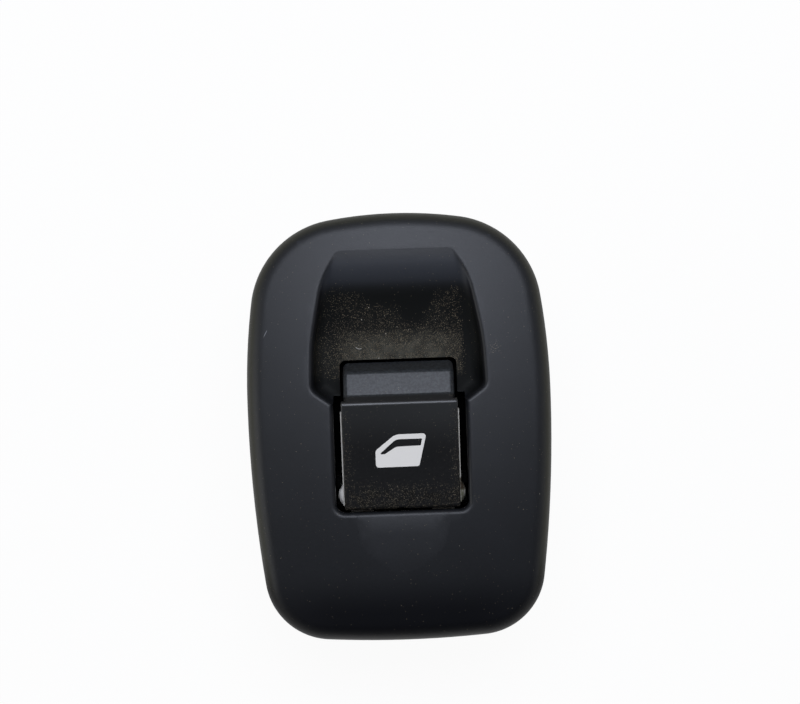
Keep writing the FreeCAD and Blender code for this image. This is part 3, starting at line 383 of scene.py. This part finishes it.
for spot_x, spot_y, radius, share in SPOTS:
    away = add_node(
        tree, "ShaderNodeVectorMath", [flat, (spot_x, spot_y, 0.0)], operation="DISTANCE"
    )
    spot = share_of(tree, (away, 0.0, radius, share, 0.0))
    spread = add_node(tree, "ShaderNodeMath", [spread, spot], operation="MAXIMUM")
dust_grains(
    tree, mm, spread, shader, ((6.5, 0.04, 0.072), (3.6, 0.045, 0.085)), "#2A241C", "#7A705E"
)
sparse = add_node(tree, "ShaderNodeMath", [spread, 0.25], operation="MULTIPLY")
dust_grains(tree, mm, sparse, shader, ((1.3, 0.04, 0.11),), "#7A6F5D", "#C2BDB0")
scratch = add_node(
    tree,
    "ShaderNodeMapping",
    {0: flat, 1: SCRATCH_PLACE, 2: (0.0, 0.0, SCRATCH_TURN), 3: SCRATCH_REACH},
    vector_type="TEXTURE",
)
scratch = add_node(tree, "ShaderNodeVectorMath", [scratch], operation="ABSOLUTE")
scratch = add_node(tree, "ShaderNodeSeparateXYZ", [scratch]).outputs
scratch = share_of(tree, (scratch[0], 0.3, 1.0, 0.8, 0.0), (scratch[1], 0.5, 1.0, 1.0, 0.0))
lay_over(tree, shader, scratch, "#8E9094", 0.5)
bezel = smooth_copy("bezel", "bezel_moulding", "module", grained_abs)

# Lint
# A cut end of cotton thread in the scoop, stuck to the dust beside the rocker's slot.
LINT_POINTS = ((-8.2, 15.95), (-7.9, 15.6), (-7.5, 15.45), (-7.1, 15.7))
LINT_RADIUS = 0.00006
cotton, tree = new_material("bleached_cotton")
mm = millimetres(tree)[0]
fluff = add_node(tree, "ShaderNodeTexNoise", {"Vector": mm, "Scale": 6.0, "Detail": 2.0})
tone = add_node(
    tree,
    "ShaderNodeMix",
    {0: fluff, 6: linear("#8E8A80"), 7: linear("#D2CFC6")},
    data_type="RGBA",
)
shader = add_node(tree, "ShaderNodeBsdfPrincipled", {"Base Color": tone, "Roughness": 0.9})
add_node(tree, "ShaderNodeOutputMaterial", [shader])
bpy.ops.object.select_all(action="DESELECT")
bpy.ops.curve.primitive_nurbs_path_add()
lint = bpy.context.object
lint.name = "lint_thread"
spline = lint.data.splines[0]
bpy.context.view_layer.update()
for point, (lint_x, lint_y) in zip(spline.points, (LINT_POINTS[0],) + LINT_POINTS):
    found = bezel.ray_cast((lint_x / 1000, lint_y / 1000, 0.05), (0, 0, -1))
    point.co = (*(found[1] + found[2] * LINT_RADIUS), 1.0)
lint.data.bevel_depth = LINT_RADIUS
lint.data.bevel_resolution = 3
lint.data.use_fill_caps = True
bpy.ops.object.convert(target="MESH")
lint = bpy.context.object
bpy.ops.object.shade_smooth()
lint.data.materials.append(cotton)
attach(lint, "module")

# Rocker cap
# Black polycarbonate blend, the first shot of a two-colour moulding, held by its white core.
# Its upper face is painted lighter towards the crest as painted light, the crest's edge has a
# painted highlight, and the ledge is painted lighter, partly a smeared finger film and partly a
# painted highlight; dust sticks where no finger presses.
cap_black, tree, shader = moulded(
    "smooth_black_polycarbonate", "#0B0B0C", 0.42, 0.5, 0.3, 0.003, 0.08
)
mm, x, y, _ = millimetres(tree)
across = add_node(tree, "ShaderNodeMath", [x], operation="ABSOLUTE")
cloud = add_node(tree, "ShaderNodeTexNoise", {"Vector": mm, "Scale": 0.6, "Detail": 3.0})
smear = add_node(tree, "ShaderNodeTexNoise", {"Vector": mm, "Scale": 2.2, "Detail": 4.0})
# Painted light: the upper face is painted lighter up towards the crest, and more so to the right.
upper_face_painted_light = share_of(
    tree, (y, -6.0, 3.5, 0.0, 0.85), (y, 4.4, 4.9, 1.0, 0.0), (x, -9.0, 11.0, 0.7, 1.0)
)
lay_over(tree, shader, upper_face_painted_light, "#2A2B2B", 0.42)
# The ledge is painted lighter and glossier in smeared patches: partly a finger film, partly a
# painted highlight where it faces the lamp.
ledge = share_of(tree, (y, 6.0, 6.6, 0.0, 1.0), (smear, 0.36, 0.64, 0.3, 1.0))
lay_over(tree, shader, ledge, "#303335", 0.35)
# Painted highlight: a lighter, glossier band along the crest's edge, weaker to the right.
crest_painted_highlight = share_of(
    tree, (y, 4.4, 4.65, 0.0, 0.95), (y, 5.0, 5.2, 1.0, 0.0), (x, -10.0, 6.0, 1.0, 0.75)
)
lay_over(tree, shader, crest_painted_highlight, "#404040", 0.3)
beside = share_of(tree, (across, 8.0, 11.3, 0.0, 0.5))
spread = share_of(tree, (y, -9.0, -13.0, 0.0, 0.6))
spread = add_node(tree, "ShaderNodeMath", [beside, spread], operation="MAXIMUM")
spread = share_of(
    tree, (spread, 0.0, 1.0, 0.0, 1.0), (y, 2.0, 5.0, 1.0, 0.15), (cloud, 0.35, 0.6, 0.4, 1.0)
)
spread = add_node(tree, "ShaderNodeMath", [spread, 0.02], operation="ADD")
lay_over(tree, shader, share_of(tree, (spread, 0.0, 1.0, 0.0, 0.8)), "#0E0C08", 0.7, "#4E4E4E")
dust_grains(
    tree, mm, spread, shader, ((6.5, 0.035, 0.068), (3.2, 0.045, 0.085)), "#1E1A14", "#746C5C"
)
cap = smooth_copy("rocker_cap", "rocker_cap_shot", "rocker", cap_black)

# Rocker core
# White polycarbonate, the second shot, moulded through the cap. It shows as the window sign, the
# flanks and the nubs that snap into the housing's ears. Brown grime sits on it, most of it right.
core_white, tree, shader = moulded("white_polycarbonate", "#F8F4EC", 0.38, 0.5, 0.5, 0.002, 0.02)
mm, x, y, _ = millimetres(tree)
across = add_node(tree, "ShaderNodeMath", [x], operation="ABSOLUTE")
grime = add_node(tree, "ShaderNodeTexNoise", {"Vector": mm, "Scale": 1.1, "Detail": 4.0})
grimy = share_of(
    tree,
    (across, 11.0, 11.4, 0.0, 1.0),
    (grime, 0.2, 0.8, 0.4, 0.7),
    (x, -11.64, -11.58, 0.05, 0.6),
    (x, -11.0, 11.0, 1.0, 1.4),
)
lay_over(tree, shader, grimy, "#756C56", 0.7)
for start, end, colour in ((-9.6, -9.9, "#6F6D5B"), (-12.9, -12.3, "#382C1C")):
    worn = share_of(
        tree,
        (x, 11.2, 11.5, 0.0, 1.0),
        (y, start, end, 0.0, 1.0),
        (y, -10.6, -9.9, 1.0, 0.0),
        (grime, 0.3, 0.55, 0.4, 1.0),
    )
    lay_over(tree, shader, worn, colour, 0.65)
core = smooth_copy("rocker_core", "rocker_core_shot", "rocker", core_white)

# Switch housing
# Glass-filled nylon, moulded black, duller than the bezel that is screwed to it. From about 25 mm
# up, where the bearing ears round the rocker's nubs stand, it is painted near black with its
# reflection dimmed, as painted shade that keeps the gaps beside the rocker black.
nylon, tree, shader = moulded("glass_filled_black_nylon", "#0B0C0D", 0.6, 0.3, 0.35, 0.01, 0.2)
z = millimetres(tree)[3]
# Painted shade: near black, with its reflection dimmed, from about 25 mm up.
upper_housing_painted_shade = share_of(tree, (z, 24.5, 25.5, 0.0, 1.0))
lay_over(tree, shader, upper_housing_painted_shade, "#030303", 0.7, "#3C3C3C")
housing = smooth_copy("switch_housing", "housing_case", "module", nylon)

# Base cover
# The same nylon, snapped on from behind. Ejector pins have left shallow round marks in its back.
MARK_PLACES = ((-12.5, -23.0), (12.5, -23.0), (-12.5, 15.0), (12.5, 15.0), (0.0, -15.0))
MARK_RADIUS = 0.0019
MARK_DEPTH = 0.00015
BESIDE_SOCKET = 0.0145
cover = smooth_copy("base_cover", "base_cover_case", "module", nylon)
back_z = min(
    polygon.center.z for polygon in cover.data.polygons if abs(polygon.center.x) > BESIDE_SOCKET
)
for mark_x, mark_y in MARK_PLACES:
    bpy.ops.object.select_all(action="DESELECT")
    bpy.ops.mesh.primitive_cylinder_add(
        vertices=40,
        radius=MARK_RADIUS,
        depth=2 * MARK_DEPTH,
        location=(mark_x / 1000, mark_y / 1000, back_z),
    )
    pin = bpy.context.object
    mark = cover.modifiers.new("mark", "BOOLEAN")
    mark.object = pin
    mark.solver = "EXACT"
    pick(cover)
    bpy.ops.object.modifier_apply(modifier=mark.name)
    bpy.data.objects.remove(pin)
bpy.ops.object.shade_smooth_by_angle(angle=math.radians(32))

# Circuit board
# FR-4 laminate on the cover's posts: green solder resist over the copper on both faces, and the
# bare tan edge where it was routed out. Under each dome lies a comb of gold-plated fingers.
PIN_PITCH = 2.54
PIN_ROW = 1.0
DOME_X = 8.0
DOME_ROW = -13.0
DOME_ARM = 9.0
FINGER_PITCH = 0.8
laminate, tree, shader = moulded("glass_epoxy_laminate", "#1D5A3A", 0.33, 0.5, 0.6, 0.004, 0.1)
_, x, y, _ = millimetres(tree)
track = add_node(tree, "ShaderNodeMath", [x, PIN_PITCH], operation="PINGPONG")
tracks = share_of(
    tree, (track, 0.16, 0.2, 1.0, 0.0), (y, -21.0, -20.9, 0.0, 1.0), (y, 13.0, 13.1, 1.0, 0.0)
)
lay_over(tree, shader, tracks, "#2C7A4F", 0.3)
from_pin = add_node(tree, "ShaderNodeMath", [x, PIN_PITCH / 2], operation="SUBTRACT")
from_pin = add_node(tree, "ShaderNodeMath", [from_pin, PIN_PITCH / 2], operation="PINGPONG")
from_row = add_node(tree, "ShaderNodeMath", [y, PIN_ROW], operation="SUBTRACT")
around = add_node(tree, "ShaderNodeCombineXYZ", [from_pin, from_row])
around = add_node(tree, "ShaderNodeVectorMath", [around], operation="LENGTH")
across = add_node(tree, "ShaderNodeMath", [x], operation="ABSOLUTE")
pads = share_of(tree, (around, 0.92, 0.97, 1.0, 0.0), (across, 7.6, 7.65, 1.0, 0.0))
lay_over(tree, shader, pads, "#B9BAB5", 0.35)
from_dome = add_node(tree, "ShaderNodeMath", [across, DOME_X], operation="SUBTRACT")
row = add_node(tree, "ShaderNodeMath", [y, DOME_ROW], operation="SUBTRACT")
row = add_node(tree, "ShaderNodeMath", [row], operation="ABSOLUTE")
row = add_node(tree, "ShaderNodeMath", [row, DOME_ARM], operation="SUBTRACT")
around = add_node(tree, "ShaderNodeCombineXYZ", [from_dome, row])
around = add_node(tree, "ShaderNodeVectorMath", [around], operation="LENGTH")
finger = add_node(tree, "ShaderNodeMath", [x, FINGER_PITCH / 2], operation="PINGPONG")
fingers = share_of(tree, (around, 2.3, 2.35, 1.0, 0.0), (finger, 0.14, 0.18, 0.0, 1.0))
lay_over(tree, shader, fingers, "#B8913C", 0.3)
facing = add_node(tree, "ShaderNodeNewGeometry").outputs["True Normal"]
facing = add_node(tree, "ShaderNodeSeparateXYZ", [facing]).outputs[2]
facing = add_node(tree, "ShaderNodeMath", [facing], operation="ABSOLUTE")
routed = share_of(tree, (facing, 0.4, 0.6, 1.0, 0.0))
lay_over(tree, shader, routed, "#A8935C", 0.75)
board = smooth_copy("circuit_board", "board_panel", "module", laminate)

# Terminal pins
# Square brass wire, tin-plated, pressed through the board and soldered on both faces. The solder
# has drawn up each pin into a bright little cone.
PIN_COUNT = 6
CONE_RADIUS = 0.00082
CONE_TOP = 0.00042
CONE_HEIGHT = 0.0007
CONE_ROUND = 0.00012


def bare_metal(name, cells_per_mm, detail, darkest, palest, smoothest, roughest):
    """A bare metal whose tone and gloss wander along the lines it was drawn or rolled in."""
    material, tree = new_material(name)
    mm = millimetres(tree)[0]
    drawn = add_node(tree, "ShaderNodeVectorMath", [mm, cells_per_mm], operation="MULTIPLY")
    lines = add_node(
        tree, "ShaderNodeTexNoise", {"Vector": drawn, "Scale": 1.0, "Detail": detail}
    )
    tone = add_node(
        tree,
        "ShaderNodeMix",
        {0: lines, 6: linear(darkest), 7: linear(palest)},
        data_type="RGBA",
    )
    gloss = add_node(tree, "ShaderNodeMapRange", [lines, 0.3, 0.7, smoothest, roughest])
    shader = add_node(
        tree,
        "ShaderNodeBsdfPrincipled",
        {"Base Color": tone, "Metallic": 1.0, "Roughness": gloss},
    )
    add_node(tree, "ShaderNodeOutputMaterial", [shader])
    return material


tinned = bare_metal(
    "bright_tin_plate", (12.0, 12.0, 0.8), 2.0, "#A9A89F", "#D6D5CE", 0.2, 0.34
)
board_low, board_high = (corner.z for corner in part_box("circuit_board"))
for number in range(1, PIN_COUNT + 1):
    node = f"terminal_pin_{number}"
    smooth_copy(node, f"{node}_wire", "module", tinned, angle=20)
    pin_low, pin_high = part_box(node)
    middle = (pin_low + pin_high) / 2
    for side, level, sign in (("under", board_low, -1), ("top", board_high, 1)):
        bpy.ops.object.select_all(action="DESELECT")
        bpy.ops.mesh.primitive_cone_add(
            vertices=24,
            radius1=CONE_RADIUS,
            radius2=CONE_TOP,
            depth=CONE_HEIGHT,
            location=(middle.x, middle.y, level + sign * CONE_HEIGHT / 2),
            rotation=(0.0 if sign > 0 else math.pi, 0.0, 0.0),
        )
        cone = bpy.context.object
        cone.name = f"solder_{side}_{number}"
        bpy.ops.object.mode_set(mode="EDIT")
        bpy.ops.mesh.select_all(action="SELECT")
        bpy.ops.mesh.bevel(offset=CONE_ROUND, segments=2)
        bpy.ops.object.mode_set(mode="OBJECT")
        bpy.ops.object.transform_apply(location=True, rotation=True, scale=True)
        bpy.ops.object.shade_smooth_by_angle(angle=math.radians(50))
        cone.data.materials.append(tinned)
        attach(cone, "module")

# Dome mat
# One compression-moulded silicone sheet with four hollow domes. The sheet stays on the board; each
# The sheet stays on the board; each dome is split off from it as a piece of its own.
DOME_BASE = 0.0033
DOME_PLACES = {
    "down_left": (-0.008, -0.004),
    "down_right": (0.008, -0.004),
    "up_left": (-0.008, -0.022),
    "up_right": (0.008, -0.022),
}
silicone, _, shader = moulded("grey_silicone_rubber", "#6F7A80", 0.62, 0.4, 0.3, 0.006, 0.06)
shader.inputs["Subsurface Weight"].default_value = 0.08
shader.inputs["Subsurface Scale"].default_value = 0.001
shader.inputs["Sheen Weight"].default_value = 0.15
mat = smooth_copy("dome_mat", "dome_mat_sheet", "module", silicone, angle=40)
for name, (dome_x, dome_y) in DOME_PLACES.items():
    pick(mat)
    bpy.ops.object.mode_set(mode="EDIT")
    bpy.ops.mesh.select_mode(type="FACE")
    bpy.ops.mesh.select_all(action="DESELECT")
    bpy.ops.object.mode_set(mode="OBJECT")
    for polygon in mat.data.polygons:
        corners = [mat.data.vertices[index].co for index in polygon.vertices]
        polygon.select = all(
            math.hypot(co.x - dome_x, co.y - dome_y) < DOME_BASE + MERGE_GAP for co in corners
        )
    bpy.ops.object.mode_set(mode="EDIT")
    bpy.ops.mesh.separate(type="SELECTED")
    bpy.ops.object.mode_set(mode="OBJECT")
    dome = next(piece for piece in bpy.context.selected_objects if piece is not mat)
    dome.name = f"dome_{name}"
    dome.parent = None
    del dome["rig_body"]
    for piece in (mat, dome):
        pick(piece)
        bpy.ops.object.mode_set(mode="EDIT")
        bpy.ops.mesh.select_mode(type="EDGE")
        bpy.ops.mesh.select_all(action="DESELECT")
        bpy.ops.mesh.select_non_manifold(extend=False, use_verts=False, use_boundary=True)
        bpy.ops.mesh.bridge_edge_loops()
        bpy.ops.mesh.select_all(action="SELECT")
        bpy.ops.mesh.normals_make_consistent(inside=False)
        bpy.ops.object.mode_set(mode="OBJECT")
        bpy.ops.object.shade_smooth_by_angle(angle=math.radians(40))
    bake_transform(dome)

# Contact pills
# Discs of carbon-loaded rubber, bonded under the domes' crowns, with a matt, faintly sooty face.
carbon = moulded("carbon_filled_rubber", "#1B1B1C", 0.8, 0.3, 0.12, 0.006, 0.2)[0]
for name in DOME_PLACES:
    smooth_copy(
        f"contact_pill_{name}", f"pill_{name}", f"{name}_plunger", carbon
    )

# Plungers
# Acetal, moulded in its natural milky white, which is slippery enough to run dry in the guides.
acetal, _, shader = moulded("natural_acetal", "#D9D5C8", 0.4, 0.5, 0.4, 0.002, 0.03)
shader.inputs["Subsurface Weight"].default_value = 0.15
shader.inputs["Subsurface Scale"].default_value = 0.001
for name in DOME_PLACES:
    smooth_copy(
        f"plunger_{name}", f"{name}_push_pin", f"{name}_plunger", acetal
    )

# Light pipe
# Clear acrylic with polished faces, dropped through the deck. It carries the lamp's light up to
# the window sign; its flange has a slight haze from the tool.
acrylic, tree = new_material("clear_moulded_acrylic")
mm = millimetres(tree)[0]
haze = add_node(tree, "ShaderNodeTexNoise", {"Vector": mm, "Scale": 0.8, "Detail": 3.0})
gloss = add_node(tree, "ShaderNodeMapRange", [haze, 0.3, 0.7, 0.03, 0.12])
shader = add_node(
    tree,
    "ShaderNodeBsdfPrincipled",
    {"Base Color": linear("#F3F7F8"), "Roughness": gloss, "IOR": 1.49, "Transmission Weight": 1.0},
)
add_node(tree, "ShaderNodeOutputMaterial", [shader])
smooth_copy("light_pipe", "sign_light_pipe", "module", acrylic)

# Backlight lamp
# A small lamp package soldered to the board: white heat-proof nylon, with a round window of yellow
# phosphor resin on top.
LENS_RADIUS = 1.1
lamp_nylon, tree, shader = moulded("white_lamp_nylon", "#E4E2DA", 0.45, 0.5, 0.3, 0.002, 0.03)
led_low, led_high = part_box("backlight_led")
led_middle = (led_low + led_high) * 500
mm, _, _, z = millimetres(tree)
beside = add_node(
    tree, "ShaderNodeVectorMath", [mm, (led_middle.x, led_middle.y, 0.0)], operation="SUBTRACT"
)
beside = add_node(tree, "ShaderNodeVectorMath", [beside, (1.0, 1.0, 0.0)], operation="MULTIPLY")
beside = add_node(tree, "ShaderNodeVectorMath", [beside], operation="LENGTH")
top = led_high.z * 1000
lens = share_of(
    tree, (beside, LENS_RADIUS - 0.04, LENS_RADIUS, 1.0, 0.0), (z, top - 0.5, top - 0.4, 0.0, 1.0)
)
lay_over(tree, shader, lens, "#D9B23A", 0.15)
smooth_copy("backlight_led", "backlight_lamp", "module", lamp_nylon)

# Chip resistors and capacitor
# Sintered ceramic blocks, soldered down by their tinned end caps. The resistors are dark on top,
# where the resistive film has its glaze, and the capacitor is plain tan.
CAP_LENGTH = 0.45


def chip(name, body_colour, face_colour, nodes, half_length):
    """A chip's material, with tinned ends at half_length either side of each node's middle."""
    material, tree, shader = moulded(name, body_colour, 0.5, 0.5, 0.15, 0.003, 0.06)
    x = millimetres(tree)[1]
    normal = add_node(tree, "ShaderNodeNewGeometry").outputs["True Normal"]
    upwards = add_node(tree, "ShaderNodeSeparateXYZ", [normal]).outputs[2]
    lay_over(tree, shader, share_of(tree, (upwards, 0.6, 0.8, 0.0, 1.0)), face_colour, 0.25)
    nearest = None
    for node in nodes:
        low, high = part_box(node)
        away = add_node(
            tree, "ShaderNodeMath", [x, (low.x + high.x) * 500], operation="SUBTRACT"
        )
        away = add_node(tree, "ShaderNodeMath", [away], operation="ABSOLUTE")
        if nearest is not None:
            away = add_node(tree, "ShaderNodeMath", [away, nearest], operation="MINIMUM")
        nearest = away
    start = half_length - CAP_LENGTH
    ends = share_of(tree, (nearest, start - 0.02, start + 0.02, 0.0, 1.0))
    lay_over(tree, shader, ends, "#BDBEBA", 0.3)
    tree.links.new(ends.outputs[0], shader.inputs["Metallic"])
    for node in nodes:
        smooth_copy(node, f"{node}_block", "module", material)


resistors = [f"chip_resistor_{number}" for number in range(1, 5)]
chip("glazed_alumina", "#D8D5CC", "#17181A", resistors, 1.6)
chip("barium_titanate", "#9C7B54", "#A58359", ["chip_capacitor"], 1.0)

# Surge diode
# Transfer-moulded black epoxy with a pale polarity band, soldered to the board by its two bent,
# tin-plated leads.
DIODE_MIDDLE_X = 3.5
epoxy, tree, shader = moulded("moulded_black_epoxy", "#17181A", 0.55, 0.45, 0.15, 0.005, 0.08)
x = millimetres(tree)[1]
out = add_node(tree, "ShaderNodeMath", [x, DIODE_MIDDLE_X], operation="SUBTRACT")
stripe = share_of(tree, (out, -1.75, -1.7, 0.0, 1.0), (out, -1.25, -1.2, 1.0, 0.0))
lay_over(tree, shader, stripe, "#B8B8B2", 0.6)
out = add_node(tree, "ShaderNodeMath", [out], operation="ABSOLUTE")
leads = share_of(tree, (out, 2.13, 2.16, 0.0, 1.0))
lay_over(tree, shader, leads, "#BDBEBA", 0.3)
tree.links.new(leads.outputs[0], shader.inputs["Metallic"])
smooth_copy("surge_diode", "surge_diode_block", "module", epoxy)

# Bezel screws
# Zinc-plated steel with a cross recess, driven from behind into the bezel's bosses. The plating
# leaves a soft, slightly blue mirror.
zinc = bare_metal("zinc_plated_steel", (1.5, 1.5, 1.5), 4.0, "#A9AFB8", "#C9C6BE", 0.25, 0.42)
smooth_copy("bezel_screws", "bezel_screw_set", "module", zinc)

# Panel clips
# Folded from spring steel strip and pushed over the bezel's two tongues. Rolling leaves fine lines
# along the strip, and tempering a brown shade.
spring = bare_metal(
    "tempered_spring_steel", (9.0, 0.5, 0.5), 3.0, "#6E6A64", "#9A958C", 0.28, 0.4
)
for end in ("upper", "lower"):
    smooth_copy(f"panel_clip_{end}", f"{end}_spring_clip", "module", spring)
